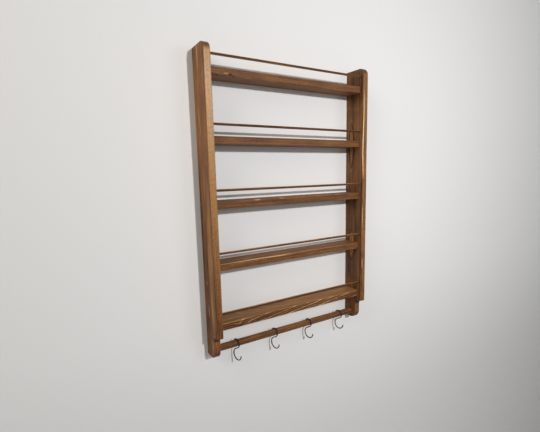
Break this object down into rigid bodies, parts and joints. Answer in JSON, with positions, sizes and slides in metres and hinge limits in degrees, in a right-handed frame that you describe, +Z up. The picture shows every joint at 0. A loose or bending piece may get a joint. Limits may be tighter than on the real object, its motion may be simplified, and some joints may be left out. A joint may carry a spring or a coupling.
{
  "type": "wall spice rack",
  "caption": "Wall-hung spice rack: shaped side boards, narrow shelves behind thin guard rails, and a lower rail carrying loose wire S-hooks.",
  "frame": {"origin": "on the wall plane, midway between the entry holes of the two keyhole plates in the side boards' back edges", "axes": "+X to the right seen from the front, along the shelves; +Y into the wall, so the front faces -Y; +Z up"},
  "size_m": [0.483, 0.0705, 0.7721],
  "materials": {
    "stained_board": "satin",
    "stained_shelf": "satin",
    "stained_rail": "satin",
    "beech_pin": "matte",
    "black_wire": "gloss",
    "zinc_plated_steel": "satin"
  },
  "bodies": {
    "rack": {"side_board_left": "stained_board", "side_board_right": "stained_board", "shelf_1": "stained_shelf", "shelf_2": "stained_shelf", "shelf_3": "stained_shelf", "shelf_4": "stained_shelf", "shelf_5": "stained_shelf", "shelf_pins_1": "beech_pin", "shelf_pins_2": "beech_pin", "shelf_pins_3": "beech_pin", "shelf_pins_4": "beech_pin", "shelf_pins_5": "beech_pin", "guard_rail_1": "stained_rail", "guard_rail_2": "stained_rail", "guard_rail_3": "stained_rail", "guard_rail_4": "stained_rail", "guard_rail_5": "stained_rail", "mug_rail": "stained_rail", "keyhole_plate_left": "zinc_plated_steel", "keyhole_plate_right": "zinc_plated_steel", "plate_screws_left": "zinc_plated_steel", "plate_screws_right": "zinc_plated_steel"},
    "hook_1": {"s_hook_1": "black_wire"},
    "hook_2": {"s_hook_2": "black_wire"},
    "hook_3": {"s_hook_3": "black_wire"},
    "hook_4": {"s_hook_4": "black_wire"}
  },
  "joints": [
    {"name": "hook_1_swing", "type": "hinge", "parent": "rack", "child": "hook_1", "pos_m": [-0.1715, -0.024, -0.6892], "axis": [0.9781, 0.2079, 0], "range_deg": [-70, 16]},
    {"name": "hook_2_swing", "type": "hinge", "parent": "rack", "child": "hook_2", "pos_m": [-0.0555, -0.024, -0.6892], "axis": [0.9781, 0.2079, 0], "range_deg": [-70, 16]},
    {"name": "hook_3_swing", "type": "hinge", "parent": "rack", "child": "hook_3", "pos_m": [0.0605, -0.024, -0.6892], "axis": [0.9781, 0.2079, 0], "range_deg": [-70, 16]},
    {"name": "hook_4_swing", "type": "hinge", "parent": "rack", "child": "hook_4", "pos_m": [0.1765, -0.024, -0.6892], "axis": [0.9781, 0.2079, 0], "range_deg": [-70, 16]}
  ]
}
